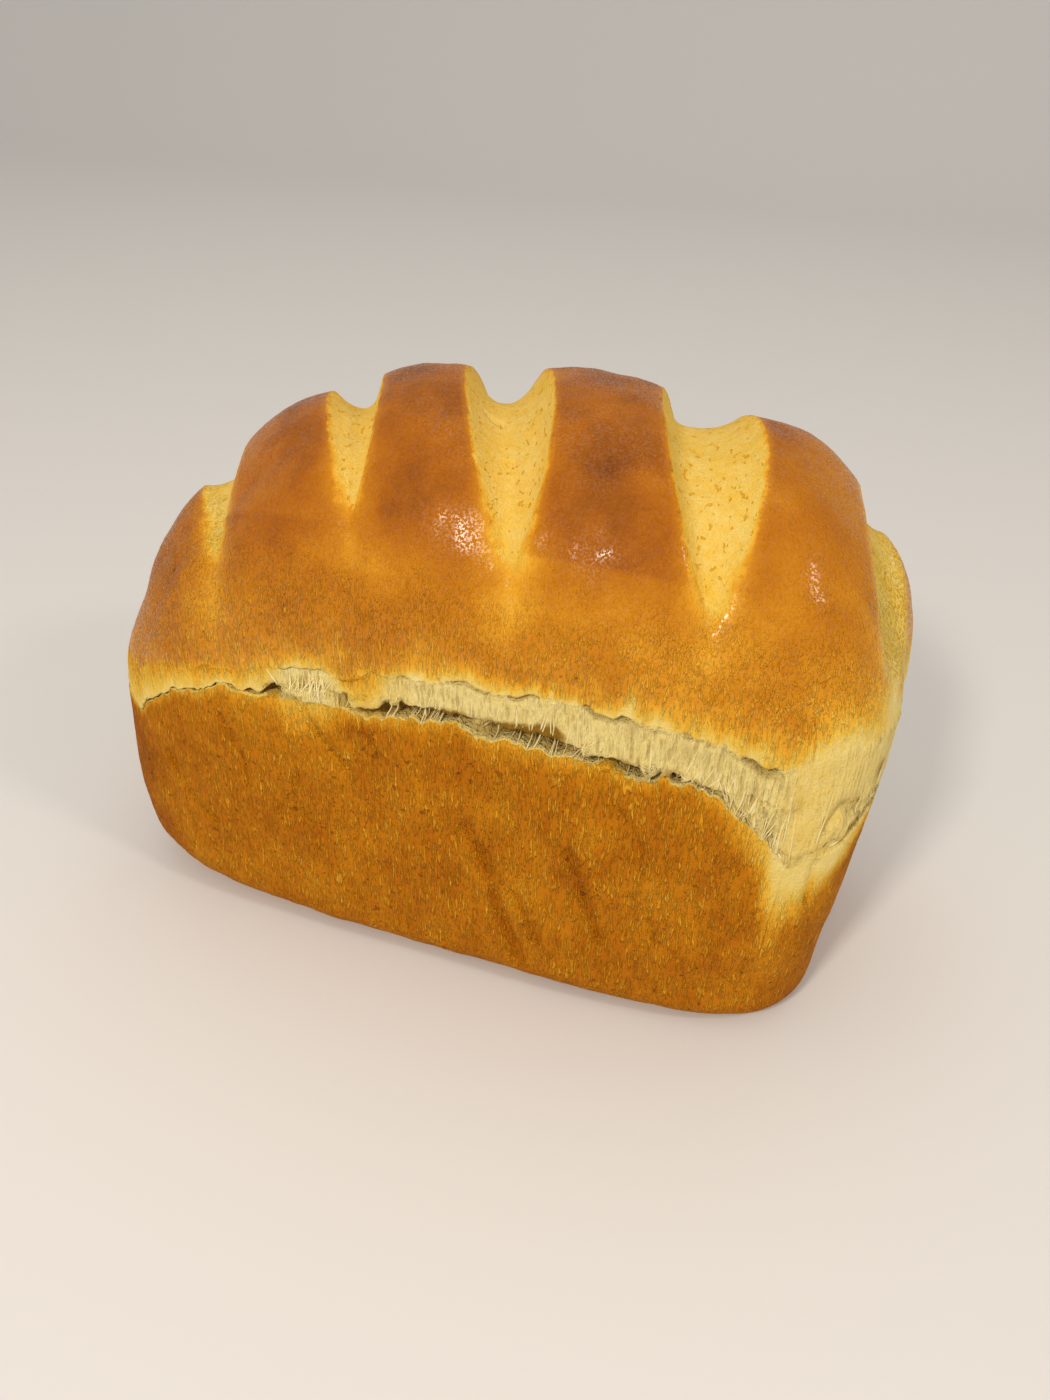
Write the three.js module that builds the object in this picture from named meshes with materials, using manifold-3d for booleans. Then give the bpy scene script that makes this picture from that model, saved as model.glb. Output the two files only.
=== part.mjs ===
// A bread loaf baked in a tin: straight tin walls with rounded edges, a tear where the dough sprang
// over the tin's rim, and a domed top with five slanted slashes. It is baked as one piece.
// Millimetres. +X runs along the loaf, -Y is the front, +Z is up, and z = 0 is the flat underside.
import * as THREE from "three";
import { mergeVertices } from "three/addons/utils/BufferGeometryUtils.js";
import Module from "manifold-3d";

const { clamp, degToRad, lerp, smoothstep } = THREE.MathUtils;
const wasm = await Module();
wasm.setup();

// Driving dimensions.
const LOAF_HEIGHT = 158;
const HALF_WIDTH = { base: 53, tear: 54, dome: 55 };
// The two ends differ: half lengths, the bulge half way up the wall, the bottom edge's radius, how far
// the tear falls at the corners, the exponents of the plan's corners at the wall and on the dome, and
// the exponent of the dome's arch along the loaf.
const LEFT_END = { base: 107, tear: 109, dome: 102, bulge: 3.5, bottomRadius: 16, tearDrop: 24, corner: 4.5 };
const RIGHT_END = { base: 102, tear: 109, dome: 111, bulge: 0, bottomRadius: 9, tearDrop: 13, corner: 4.2 };
const LEFT_DOME = { corner: 2.5, arch: 2.3 };
const RIGHT_DOME = { corner: 2.9, arch: 2.7 };
const SIDE_BOTTOM_RADIUS = 11;
const TEAR_HEIGHT = 88; // at the middle of each long side, falling towards the ends
const DOME_ARCH = { rise: 2.5, across: 2.1 }; // exponents of the dome's rise and of its arch across
const CROWN_SHIFT = 8; // how far the dome leans towards the right end
const SWELL_END = 0.15; // share of the climb from tear to crown in which the dome reaches its full plan
const SQUARING_END = 0.5; // share in which the wall's squarer plan turns into the dome's

// The tear is a shallow groove that follows the tin's rim.
const TEAR = { depth: 3.5, halfWidth: 6 };

// Each slash crosses the crown slantwise: its middle x, its slant in x per y, its full width and
// depth there, and the tilt in degrees from straight up at which it runs out at the front and back.
const SLASHES = [
  { x: -87, slant: -0.5, width: 15, depth: 5, reach: 66 },
  { x: -44, slant: -0.45, width: 17, depth: 8, reach: 48 },
  { x: 0, slant: -0.38, width: 24, depth: 11, reach: 55 },
  { x: 53, slant: -0.27, width: 26, depth: 9, reach: 56 },
  { x: 101, slant: -0.25, width: 16, depth: 5, reach: 60 },
];
const SLASH_CLEARANCE = 12; // how far a slash's cutter stands above the crust
const SLASH_CELLS = { round: 16, along: 20 };
const MERGE_DISTANCE = 1e-3; // points closer than this are one

// Grid of the loaf's skin: cells along X and Y, and how far up the skin each row of the sides lies.
// 0 is the underside's edge, 1 the tear, and 2 the crown.
const CELLS_ALONG = 40;
const CELLS_ACROSS = 20;
const ROWS = [
  0, 0.012, 0.05, 0.11, 0.19, 0.28, 0.45, 0.62, 0.78, 0.87, 0.93, 0.965, 1, 1.03, 1.06, 1.1, 1.17, 1.26, 1.36,
];
const SHOULDER = ROWS[ROWS.length - 1]; // the top face of the grid starts here

const CRUST = { color: 0xc0741c, roughness: 0.5, metalness: 0 };

// How far a rounded bottom edge of this radius draws the wall in at height z.
function bottomInset(radius, z) {
  const up = clamp(1 - z / radius, 0, 1);
  return radius * (1 - Math.sqrt(1 - up * up));
}

// A point of the loaf's smooth form, before it is torn and slashed. u and v go round its plan on the
// unit square, from -1 to 1, and climb goes up the skin from 0 at the underside's edge to 2 at the crown.
function formPoint(u, v, climb) {
  const [end, endDome] = u < 0 ? [LEFT_END, LEFT_DOME] : [RIGHT_END, RIGHT_DOME];
  const tearHeight = TEAR_HEIGHT - end.tearDrop * u * u;
  const wall = Math.min(climb, 1);
  const dome = Math.max(climb - 1, 0);
  const wallHeight = wall * tearHeight;
  const swell = smoothstep(dome, 0, SWELL_END);

  // The side's bottom edge takes on the end's own roundness towards that end.
  const sideRadius = lerp(SIDE_BOTTOM_RADIUS, end.bottomRadius, Math.abs(u) ** 3);
  const halfLength =
    lerp(end.base, end.tear, wall) +
    end.bulge * Math.sin(wall * Math.PI) +
    (end.dome - end.tear) * swell -
    bottomInset(end.bottomRadius, wallHeight);
  const halfWidth =
    lerp(HALF_WIDTH.base, HALF_WIDTH.tear, wall) +
    (HALF_WIDTH.dome - HALF_WIDTH.tear) * swell -
    bottomInset(sideRadius, wallHeight);

  const corner = lerp(end.corner, endDome.corner, smoothstep(dome, 0, SQUARING_END));
  const round = (Math.abs(u) ** corner + Math.abs(v) ** corner) ** (-1 / corner);
  const angle = (dome * Math.PI) / 2;
  const narrowing = Math.max(Math.cos(angle), 0);
  const x = halfLength * narrowing ** (2 / endDome.arch) * round * u + CROWN_SHIFT * smoothstep(dome, 0, 1);
  const y = halfWidth * narrowing ** (2 / DOME_ARCH.across) * round * v;
  const z = wallHeight + (LOAF_HEIGHT - tearHeight) * Math.sin(angle) ** (2 / DOME_ARCH.rise);
  return new THREE.Vector3(x, y, z);
}

// The loaf's own point: its form, with the groove of the tear pressed into it.
function skinPoint(u, v, climb) {
  const point = formPoint(u, v, climb);
  const aboveTear = point.z - formPoint(u, v, 1).z;
  const groove = TEAR.depth * Math.exp(-((aboveTear / TEAR.halfWidth) ** 2));
  const outwards = new THREE.Vector3(u * HALF_WIDTH.tear, v * LEFT_END.tear, 0).normalize();
  return point.addScaledVector(outwards, -groove);
}

// Moves each point of a 2 x 2 x 2 box's grid to its place on the loaf.
function loafGeometry() {
  const box = new THREE.BoxGeometry(2, 2, 2, CELLS_ALONG, CELLS_ACROSS, ROWS.length - 1);
  box.deleteAttribute("normal");
  box.deleteAttribute("uv");
  const grid = box.getAttribute("position");
  const place = new THREE.Vector3();
  for (let i = 0; i < grid.count; i++) {
    place.fromBufferAttribute(grid, i);
    const ring = Math.max(Math.abs(place.x), Math.abs(place.y)); // 1 on the sides, 0 at a face's middle
    const u = ring > 0 ? place.x / ring : 1; // at a face's middle any direction will do
    const v = ring > 0 ? place.y / ring : 0;
    const row = Math.round(((place.z + 1) / 2) * (ROWS.length - 1));
    if (place.z <= -1) {
      place.copy(formPoint(u, v, 0)).multiplyScalar(ring).setZ(0);
    } else if (place.z < 1) {
      place.copy(skinPoint(u, v, ROWS[row]));
    } else {
      place.copy(skinPoint(u, v, lerp(2, SHOULDER, ring)));
    }
    grid.setXYZ(i, place.x, place.y, place.z);
  }
  return mergeVertices(box, MERGE_DISTANCE);
}

// Where a slash's middle line lies on the dome, at a tilt in radians from straight up.
function slashPlace(dome, slash, tilt) {
  const spine = new THREE.Vector3(slash.x, 0, TEAR_HEIGHT);
  const outwards = new THREE.Vector3(slash.slant * Math.sin(tilt), Math.sin(tilt), Math.cos(tilt));
  outwards.normalize();
  const outside = spine.addScaledVector(outwards, LOAF_HEIGHT);
  return new THREE.Raycaster(outside, outwards.negate()).intersectObject(dome)[0];
}

// The solid that a slash takes out of the dome: a ball bent over the crown, pointed at both ends.
function slashCutter(dome, slash) {
  const ball = new THREE.SphereGeometry(1, SLASH_CELLS.round, SLASH_CELLS.along);
  ball.deleteAttribute("normal");
  ball.deleteAttribute("uv");
  const grid = ball.getAttribute("position");
  const onBall = new THREE.Vector3();
  const step = degToRad(1);
  for (let i = 0; i < grid.count; i++) {
    onBall.fromBufferAttribute(grid, i);
    const tilt = onBall.y * degToRad(slash.reach);
    const taper = Math.sqrt(Math.max(1 - onBall.y ** 2, 0));
    const { point, face } = slashPlace(dome, slash, tilt);
    const along = slashPlace(dome, slash, tilt + step).point.sub(slashPlace(dome, slash, tilt - step).point);
    const across = along.cross(face.normal).normalize();
    const rise = onBall.z > 0 ? SLASH_CLEARANCE : slash.depth;
    point.addScaledVector(across, (onBall.x * taper * slash.width) / 2);
    point.addScaledVector(face.normal, onBall.z * taper * rise);
    grid.setXYZ(i, point.x, point.y, point.z);
  }
  return mergeVertices(ball, MERGE_DISTANCE);
}

// A closed geometry as a solid that can be cut, and back again.
function solidOf(geometry) {
  const vertProperties = geometry.getAttribute("position").array;
  const triVerts = new Uint32Array(geometry.index.array);
  return new wasm.Manifold(new wasm.Mesh({ numProp: 3, vertProperties, triVerts }));
}

function geometryOf(solid) {
  const { vertProperties, triVerts } = solid.getMesh();
  const geometry = new THREE.BufferGeometry();
  geometry.setAttribute("position", new THREE.BufferAttribute(vertProperties, 3));
  geometry.setIndex(new THREE.BufferAttribute(triVerts, 1));
  return geometry;
}

// The dome with its slashes cut, and the origin moved to under the middle of the loaf.
function slashedLoaf() {
  const dome = new THREE.Mesh(loafGeometry());
  let solid = solidOf(dome.geometry);
  for (const slash of SLASHES) {
    solid = solid.subtract(solidOf(slashCutter(dome, slash)));
  }
  const geometry = geometryOf(solid);
  geometry.computeBoundingBox();
  const middle = geometry.boundingBox.getCenter(new THREE.Vector3());
  geometry.translate(-middle.x, -middle.y, 0);
  geometry.computeVertexNormals();
  return geometry;
}

const loaf = new THREE.Mesh(slashedLoaf(), new THREE.MeshStandardMaterial(CRUST));
loaf.name = "loaf";

const part = new THREE.Group();
part.add(loaf);

export default part;
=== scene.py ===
# A tin-baked bread loaf: tin walls, a torn seam where the dough sprang over the rim, and a glazed dome
# with five slanted slashes. The skin is one closed mesh, torn threads of crumb are added over it.
import bpy
import numpy as np
from mathutils import Matrix, Vector, noise


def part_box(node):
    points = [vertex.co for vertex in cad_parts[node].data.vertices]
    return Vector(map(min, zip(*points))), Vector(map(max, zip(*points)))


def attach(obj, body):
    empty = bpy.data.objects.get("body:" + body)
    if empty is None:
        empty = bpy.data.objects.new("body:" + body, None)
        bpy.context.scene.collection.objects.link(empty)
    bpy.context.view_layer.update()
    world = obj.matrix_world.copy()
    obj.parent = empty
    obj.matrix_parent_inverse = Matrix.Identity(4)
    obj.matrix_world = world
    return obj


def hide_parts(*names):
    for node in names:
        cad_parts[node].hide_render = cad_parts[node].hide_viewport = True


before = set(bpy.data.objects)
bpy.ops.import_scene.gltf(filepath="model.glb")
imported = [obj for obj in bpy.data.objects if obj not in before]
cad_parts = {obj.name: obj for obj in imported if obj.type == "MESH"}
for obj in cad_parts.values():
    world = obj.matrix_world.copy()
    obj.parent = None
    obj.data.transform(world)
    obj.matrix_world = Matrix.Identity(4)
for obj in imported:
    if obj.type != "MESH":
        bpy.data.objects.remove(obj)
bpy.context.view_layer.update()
_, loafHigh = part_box("loaf")
scene = bpy.context.scene
mm = 0.001
tiny = 1e-12   # keeps a division by zero away

# The loaf's form, in millimetres, by the same rule as the frame's solid.
form = {
    "height": loafHigh.z / mm,
    "baseWidth": 53, "tearWidth": 54, "domeWidth": 55,     # half widths
    "left": {"base": 107, "tear": 109, "dome": 102, "bulge": 3.5, "radius": 16, "drop": 24, "corner": 4.5,
             "domeCorner": 2.5, "arch": 2.3},
    "right": {"base": 102, "tear": 109, "dome": 111, "bulge": 0, "radius": 9, "drop": 13, "corner": 4.2,
              "domeCorner": 2.9, "arch": 2.7},
    "sideRadius": 11, "tearHeight": 88, "archRise": 2.5, "archAcross": 2.1,
    "crownShift": 8, "swellEnd": 0.15, "squaringEnd": 0.5,
}
# Cells of the skin: along X, along Y, the climb where the sides' rows end and the top's grid starts, and
# how many times a search for a place on the dome is halved. The climb is 0 at the edge of the underside,
# 1 at the tear and 2 at the crown.
cells = {"along": 240, "across": 84, "shoulder": 1.36, "halvings": 26}


def ease(low, high, x):
    t = np.clip((x - low) / (high - low), 0, 1)
    return t * t * (3 - 2 * t)


def mix(a, b, t):
    return a + (b - a) * t


def toSquare(u, v):
    # the point's direction on the unit square, and how far out it lies
    ring = np.maximum(np.maximum(abs(u), abs(v)), tiny)
    return u / ring, v / ring, ring


def endValue(u, name):
    return np.where(u < 0, form["left"][name], form["right"][name])


def tearHeightAt(u):
    return form["tearHeight"] - endValue(u, "drop") * u * u


def halfSizes(u, climb):
    # half length and half width of the plan, and its corner exponent, at a climb
    wall, dome = np.clip(climb, 0, 1), np.clip(climb - 1, 0, 1)
    z = wall * tearHeightAt(u)
    swell = ease(0, form["swellEnd"], dome)
    endRadius = endValue(u, "radius")
    sideRadius = mix(form["sideRadius"], endRadius, abs(u) ** 3)

    def inset(radius):
        up = np.clip(1 - z / radius, 0, 1)
        return radius * (1 - np.sqrt(1 - up * up))

    length = mix(endValue(u, "base"), endValue(u, "tear"), wall) - inset(endRadius)
    length = length + endValue(u, "bulge") * np.sin(wall * np.pi)
    length = length + (endValue(u, "dome") - endValue(u, "tear")) * swell
    width = mix(form["baseWidth"], form["tearWidth"], wall) - inset(sideRadius)
    width = width + (form["domeWidth"] - form["tearWidth"]) * swell
    corner = mix(endValue(u, "corner"), endValue(u, "domeCorner"), ease(0, form["squaringEnd"], dome))
    narrow = np.maximum(np.cos(dome * np.pi / 2), 0)
    length = length * narrow ** (2 / endValue(u, "arch"))
    return length, width * narrow ** (2 / form["archAcross"]), corner


def shiftAt(climb):
    return form["crownShift"] * ease(0, 1, climb - 1)


def formAt(u, v, climb):
    length, width, corner = halfSizes(u, climb)
    roundness = (abs(u) ** corner + abs(v) ** corner) ** (-1 / corner)
    tear = tearHeightAt(u)
    rise = np.sin(np.clip(climb - 1, 0, 1) * np.pi / 2) ** (2 / form["archRise"])
    z = np.clip(climb, 0, 1) * tear + (form["height"] - tear) * rise
    return np.stack([length * roundness * u + shiftAt(climb), width * roundness * v, z], -1)


def climbOf(u, z):
    # the climb at which the skin reaches the height z
    tear = tearHeightAt(u)
    rise = np.clip((z - tear) / (form["height"] - tear), 0, 1)
    return np.where(z < tear, z / tear, 1 + np.arcsin(rise ** (form["archRise"] / 2)) * 2 / np.pi)


def domeOver(x, y):
    # u, v and climb of the dome's point over a place in plan, by halving
    low, high = np.ones(len(x)), np.full(len(x), 2.0)
    for _ in range(cells["halvings"]):
        climb = (low + high) / 2
        side = np.where(x < shiftAt(climb), -1.0, 1.0)
        length, width, corner = halfSizes(side, climb)
        inside = (abs(x - shiftAt(climb)) / length) ** corner + (abs(y) / width) ** corner < 1
        low, high = np.where(inside, climb, low), np.where(inside, high, climb)
    climb = (low + high) / 2
    side = np.where(x < shiftAt(climb), -1.0, 1.0)
    length, width, _ = halfSizes(side, climb)
    u, v, _ = toSquare((x - shiftAt(climb)) / length, y / width)
    return u, v, climb


seedStep = np.array([7.31, 3.17, 5.73])   # how far apart in space two seeds' noises are taken


def wander(points, size, octaves=2, seed=0):
    # smooth noise of about -1 to 1 with lumps of about that size; size may differ by axis
    spots = points / np.broadcast_to(size, (3,)) + seed * seedStep
    return np.array([noise.fractal(Vector(p), 1.0, 2.0, octaves) for p in spots])


def unit(vectors):
    return vectors / (np.linalg.norm(vectors, axis=1, keepdims=True) + tiny)


# The skin's grid: the columns run round the loaf, from the left end of the front, seen from above
# anticlockwise, and the rows run up the sides. The top is a grid of its own inside the last row.
def ringColumns():
    nx, ny = cells["along"], cells["across"]
    along, across = np.arange(nx) * 2 / nx - 1, np.arange(ny) * 2 / ny - 1
    u = np.concatenate([along, np.ones(ny), -along, -np.ones(ny)])
    v = np.concatenate([-np.ones(nx), across, np.ones(nx), -across])
    return u, v


ringU, ringV = ringColumns()
columns = len(ringU)
column = np.arange(columns)
side = np.searchsorted(np.cumsum([cells["along"], cells["across"]] * 2), column, side="right")
tearRing = formAt(ringU, ringV, np.ones(columns))


def formMiddle():
    # x of the form's middle, which the frame has at 0
    climbs = np.linspace(0, 2, 400)
    midline = np.zeros(len(climbs))
    left, right = [formAt(np.full(len(climbs), end), midline, climbs)[:, 0] for end in (-1.0, 1.0)]
    return (left.min() + right.max()) / 2


middleX = formMiddle()

# The torn seam, side by side: place along the side, height of its foot, of its lip and of the glazed
# skin's edge, how deep it gapes (below 0 it bulges), how fibrous it is, and how far the pale fringe
# reaches down the wall below it. Sides run anticlockwise, seen from above.
seam = {
    "front": [
        (-102.8, 60, 61, 74, 2, 0, 3), (-89.8, 65, 66, 79, 2.5, 0.1, 3),
        (-81.8, 70, 71, 81, 2.5, 0, 4), (-77.8, 73.5, 74.2, 82.5, 2.5, 0.1, 4),
        (-71.8, 76, 76.8, 84.5, 2.5, 0, 4), (-67.8, 76.5, 77.2, 85, 2, 0, 5),
        (-60.8, 81.3, 82.3, 86, 2.5, 0, 5), (-54.8, 79.8, 80.8, 86.5, 2.5, 0.1, 5),
        (-47.8, 80, 81.2, 89.5, 3, 0.2, 5), (-43.8, 81.5, 85, 90.5, 3.5, 0.4, 9),
        (-39.8, 82, 88.3, 91, -0.4, 1, 16), (-34.8, 82.5, 90.5, 92.3, -0.6, 1, 18),
        (-28.8, 82.5, 91, 93, -0.4, 1, 16), (-24.8, 82.5, 88.5, 93, 0.8, 0.7, 10),
        (-21.8, 82.5, 84.8, 93, 3, 0.1, 5), (-16.8, 82, 84.5, 94, 3.5, 0, 6),
        (-13.8, 83, 85.5, 95, 4, 0.2, 6), (-9.8, 83.5, 88, 95.6, 4, 0.7, 6),
        (-2.8, 84.5, 89.3, 97, 3.5, 1, 6), (4.2, 85.5, 90.4, 98, 3.5, 1, 6),
        (8.2, 86, 90.6, 98, 3, 1, 6), (11.2, 85, 90.6, 97.6, 3, 1, 6),
        (15.2, 83, 91.2, 97.4, 3.5, 1, 6), (22.2, 83.8, 90, 98, 4, 1, 6),
        (27.2, 84.8, 92, 99, 4, 1, 6), (33.2, 83.6, 92, 99.5, 4.5, 1, 7),
        (37.2, 84, 89, 99, 3.5, 1, 7), (41.2, 84.4, 86.4, 98.6, 3, 1, 7),
        (45.2, 84.3, 86, 97, 4, 1, 6), (50.2, 81.8, 86.1, 97.5, 6, 1, 5),
        (54.2, 81.8, 83.8, 98.5, 5, 1, 5), (57.2, 82, 84, 98.5, 5, 1, 5),
        (60.2, 82.5, 85, 97.4, 5, 1, 5), (67.2, 82.5, 84, 96, 3.5, 1, 6),
        (73.2, 80, 81.5, 95.5, 1.5, 1, 6), (80.2, 74, 75, 91, 0.4, 1, 13),
        (87.2, 67, 69, 90, 0, 0.9, 20), (94.2, 62, 64, 91, 0, 0.5, 34), (99.2, 60, 62, 94, 0, 0.2, 44),
    ],
    "right": [
        (-46, 60, 62, 95, 0, 0.2, 42), (-38, 64, 67, 96, 0.3, 0.5, 28), (-28, 70, 76, 95, 4, 0.9, 12),
        (-10, 76, 80, 91, 4, 0.8, 9), (10, 77, 79, 90, 3, 0.5, 8), (30, 75, 79, 89, 4, 0.8, 9),
        (46, 74, 76, 88, 2, 0.6, 14),
    ],
    "back": [
        (98, 74, 76, 88, 2, 0.6, 10), (80, 77, 81, 90, 4, 0.9, 6), (55, 81, 86, 94, 6, 1, 6),
        (30, 84, 89, 97, 5, 1, 6), (5, 85, 87, 95, 3, 0.4, 5), (-20, 83, 88, 96, 6, 1, 6),
        (-45, 79, 84, 92, 5, 0.9, 5), (-70, 74, 76, 86, 3, 0.3, 4), (-95, 66, 67, 79, 2, 0.1, 4),
    ],
    "left": [
        (46, 64, 65, 77, 2, 0.1, 4), (25, 66, 68, 79, 3, 0.4, 4), (0, 67, 69, 80, 2.5, 0.2, 4),
        (-25, 65, 66, 79, 2, 0.1, 4), (-46, 60, 61, 76, 2, 0, 3),
    ],
}
# How the seam's three edges wander up and down, in small jags and in waves, and the least steps between
# the foot, the lip and the skin's edge.
ragged = {"footJag": 1.3, "footWave": 1.0, "lipJag": 1.9, "lipWave": 1.6, "skinWave": 2.0,
          "lipStep": 0.35, "skinStep": 1.2}
# Folds, lobes and holes of the torn crumb at the front: place, height, half sizes, and how far each is
# pushed out (below 0, in).
lumps = [
    (-33.8, 85.5, 9, 5, 1.2), (-43.8, 83.5, 2.2, 3, -4.5), (-22.8, 88, 1.8, 5, -2.4),
    (-18.3, 89, 5, 5, 2.3), (-9.3, 90.6, 3.6, 2.8, 1.9), (-4.8, 87, 3, 1.5, -3),
    (5.7, 88.3, 4.6, 1.7, -6), (12.7, 88, 2.4, 3, 2), (23, 88.5, 4.6, 1.8, -7.5),
    (19.2, 94, 4, 3.5, 1.6), (31.9, 90, 3, 3.2, -5.2), (37.4, 86.9, 4.6, 1.8, 3.2),
    (38.2, 94.5, 3.5, 4, 1.7), (46.2, 92, 3, 5, 2.3), (49.8, 84.2, 4.6, 2.4, -7.5),
    (51.2, 93, 1.5, 5, -2.2), (55.8, 90.5, 3.8, 6.5, 4.6), (61.7, 85, 3, 2, -4.5),
    (64.2, 90.5, 3.2, 3.6, -2), (69.2, 90, 1.4, 5, -2.2), (73.8, 90.5, 3.4, 4.4, 2.3),
    (80.2, 84, 1.5, 4, -1.8), (85.2, 82, 4, 5, 1.3), (91.2, 79, 1.3, 6, -1.8),
]


def seamValues():
    # foot, lip, skin, gape, fibre and fringe for every column
    rows = []
    for number, (name, points) in enumerate(seam.items()):
        here = column[side == number]
        axis = 0 if name in ("front", "back") else 1
        coordinate = tearRing[here, axis]
        order = np.argsort(coordinate)
        for place, *values in points:
            rows.append([np.interp(place, coordinate[order], here[order]), *values])
    rows = np.array(sorted(rows))
    return [np.interp(column, rows[:, 0], rows[:, i], period=columns) for i in range(1, 7)]


def raggedEdges(foot, lip, skin):
    spots = tearRing * [1, 1, 0]
    foot = foot + (wander(spots, 2.2, 3, 1) * ragged["footJag"]
                   + wander(spots, 9, 2, 2) * ragged["footWave"])
    lip = lip + wander(spots, 3.5, 3, 3) * ragged["lipJag"]
    lip = np.maximum(lip + wander(spots, 9, 2, 5) * ragged["lipWave"] * fibre, foot + ragged["lipStep"])
    skin = np.maximum(skin + wander(spots, 6, 3, 4) * ragged["skinWave"], lip + ragged["skinStep"])
    return foot, lip, skin


foot, lip, skin, gape, fibre, fringe = seamValues()
foot, lip, skin = raggedEdges(foot, lip, skin)

# Rows up the side, as shares of the wall up to the foot, of the gape up to the lip, of the fibrous band
# up to the glazed skin, and of the dome up to the shoulder. The gape's come with how far it draws in.
wallRows = np.concatenate([[0, 0.008, 0.02, 0.035, 0.055], np.linspace(0.075, 0.95, 44),
                           [0.965, 0.98, 0.992]])
gapeRows = np.array([
    (0, 0), (0.01, 0.25), (0.03, 0.55), (0.08, 0.8), (0.16, 0.95), (0.26, 1), (0.37, 1.02),
    (0.48, 1.02), (0.59, 1.0), (0.7, 0.92), (0.8, 0.78), (0.88, 0.6), (0.95, 0.35), (0.985, 0.1),
])
fibreRows = np.linspace(0, 1, 15)[:-1]
domeRows = np.concatenate([[0, 0.02, 0.045, 0.08, 0.12], np.linspace(0.17, 1, 20)])

# Slashes: the middle's x on the crest, slant in x per y, width and depth on the crest, the tilt in
# degrees at which they run out, and where between the lips they are deepest (-1 to 1).
slashes = [
    {"x": -87, "slant": -0.5, "width": 15, "depth": 5, "reach": 66, "deepest": 0.1},
    {"x": -44, "slant": -0.45, "width": 17, "depth": 8, "reach": 48, "deepest": 0.15},
    {"x": 0, "slant": -0.38, "width": 24, "depth": 11, "reach": 55, "deepest": 0.0},
    {"x": 53, "slant": -0.27, "width": 26, "depth": 9, "reach": 56, "deepest": -0.3},
    {"x": 101, "slant": -0.25, "width": 16, "depth": 5, "reach": 60, "deepest": 0.0},
]
# How the crust rolls down towards a slash (how far, over what distance beside it, and how far past its
# tips), how its hollow curves, how softly its edge fades at the tips and in the middle, and the largest
# value that a point's place inside or outside the cut takes.
rim = {"drop": 1.8, "fade": 8.0, "tail": 1.1, "curve": 2.2, "fullness": 0.85,
       "softTip": 3.4, "softMiddle": 0.9, "limit": 6.0}
# Where a column of the top's grid is moved onto a slash's lip: inside this ring of it, where this much of
# the slash is left, and by no more than this.
snap = {"ring": 0.93, "left": 0.04, "most": 3.0}


def lean(u, v, amount):
    # turns the top's columns along the slashes, without moving the two ends
    slant = np.interp(u * 100, [s["x"] for s in slashes], [s["slant"] for s in slashes])
    return toSquare(u + slant * 0.5 * v * (1 - u ** 4) * amount, v)[:2]


def sideHeights():
    # the height of every point of the sides, and for each row its kind and its share
    shoulder = formAt(*lean(ringU, ringV, 1), np.full(columns, cells["shoulder"]))[:, 2]
    heights = [
        wallRows[:, None] * foot,
        foot + (lip - foot) * gapeRows[:, :1],
        lip + (skin - lip) * fibreRows[:, None],
        skin + (shoulder - skin) * domeRows[:, None],
    ]
    kinds = np.repeat([0, 1, 2, 3], [len(h) for h in heights])   # wall, gape, fibrous band, dome
    along = np.concatenate([wallRows, gapeRows[:, 0], fibreRows, domeRows])
    return np.concatenate(heights), kinds, along


heights, rowKind, rowAlong = sideHeights()
rowCount = len(heights)
print("skin grid:", columns, "columns,", rowCount, "rows")


def acrossSlash(slash, spots):
    # distance from the slash's middle line, its half width there, and how much of it is left
    tilt = np.degrees(np.arctan2(abs(spots[:, 1]), spots[:, 2] - form["tearHeight"]))
    left = 1 - (tilt / slash["reach"]) ** 2
    off = spots[:, 0] - slash["x"] - slash["slant"] * spots[:, 1]
    return off, slash["width"] / 2 * np.maximum(left, 0), left


def topGrid():
    # u, v and climb of the top's grid, with columns moved onto the slashes' lips, and which these are
    nx, ny = cells["along"], cells["across"]
    gx, gy = np.meshgrid(np.arange(nx + 1) * 2 / nx - 1, np.arange(ny + 1) * 2 / ny - 1, indexing="ij")
    u, v, ring = toSquare(gx.ravel(), gy.ravel())
    u = np.where(ring <= tiny, 1, u)
    climb = mix(2, cells["shoulder"], ring)
    u, v = lean(u, v, 1)
    spots = formAt(u, v, climb)
    onLip = np.zeros(len(u), bool)
    move = np.zeros(len(u))
    inner = (ring < snap["ring"]).reshape(nx + 1, ny + 1)
    for slash in slashes:
        off, half, left = acrossSlash(slash, spots)
        past = np.where(left > snap["left"], abs(off) - half, 3 * snap["most"]).reshape(nx + 1, ny + 1)
        crossing = (past[:-1] < 0) != (past[1:] < 0)
        crossing &= np.maximum(abs(past[:-1]), abs(past[1:])) < snap["most"]
        nearFirst = abs(past[:-1]) < abs(past[1:])
        chosen = np.zeros((nx + 1, ny + 1), bool)
        chosen[:-1] |= crossing & nearFirst
        chosen[1:] |= crossing & ~nearFirst
        chosen = (chosen & inner).ravel()
        move[chosen] = -(np.sign(off) * past.ravel())[chosen]
        onLip |= chosen
    x, y = spots[onLip, 0] + move[onLip], spots[onLip, 1]
    u[onLip], v[onLip], climb[onLip] = domeOver(x, y)
    return u, v, climb, onLip


def ringIndex(i, j):
    # the point of the sides' last row that stands at a place on the border of the top's grid
    nx, ny = cells["along"], cells["across"]
    on = np.select([j == 0, i == nx, j == ny], [i, nx + j, 2 * nx + ny - i], 2 * nx + 2 * ny - j)
    return (rowCount - 1) * columns + on % columns


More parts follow.
